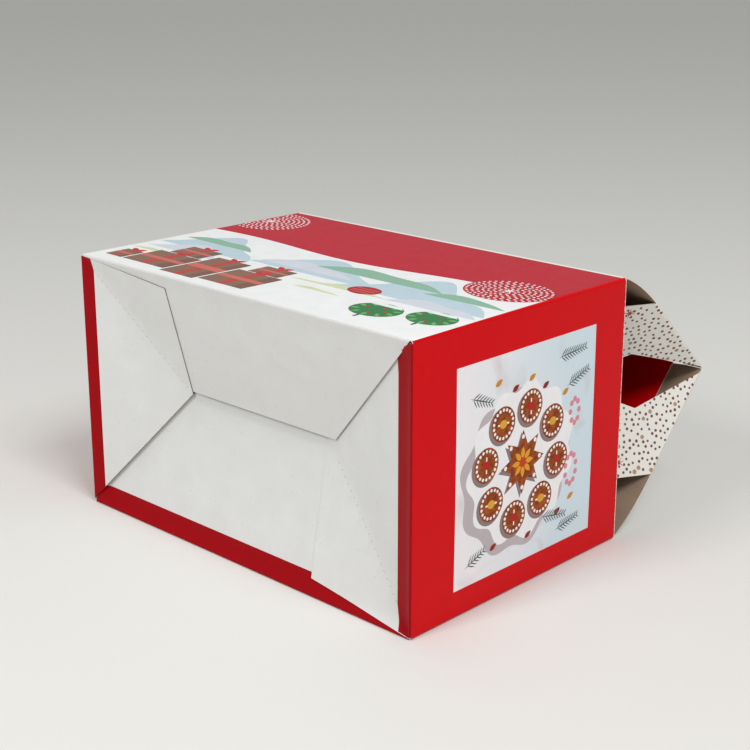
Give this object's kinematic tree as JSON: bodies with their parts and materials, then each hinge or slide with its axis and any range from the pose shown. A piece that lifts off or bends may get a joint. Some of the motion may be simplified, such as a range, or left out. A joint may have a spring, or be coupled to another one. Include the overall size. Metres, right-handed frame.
{
  "type": "gable box",
  "caption": "Open printed boxboard carton with a glued sagging base and two hinged roof panels that meet in a ridge, lying on its back panel.",
  "frame": {"origin": "on the table, under the middle of the whole box as it lies on its back panel with the gable shut", "axes": "+X from the base to the gable, +Y from the near side panel to the far one, +Z from the back panel to the front panel"},
  "size_m": [0.2702, 0.272, 0.16],
  "materials": {
    "printed_body_board": "gloss varnished print outside, plain brown board inside",
    "printed_roof_board": "cream print with small dots outside, plain brown board inside"
  },
  "bodies": {
    "carton": {"carton_body": "printed_body_board"},
    "front_lid": {"front_roof": "printed_roof_board"},
    "back_lid": {"back_roof": "printed_roof_board"}
  },
  "joints": [
    {"name": "front_roof_crease", "type": "hinge", "parent": "carton", "child": "front_lid", "pos_m": [0.04505, 0, 0.16], "axis": [0, -1, 0], "range_deg": [0, 130]},
    {"name": "back_roof_crease", "type": "hinge", "parent": "carton", "child": "back_lid", "pos_m": [0.04505, 0, 0], "axis": [0, 1, 0], "range_deg": [0, 30]}
  ]
}
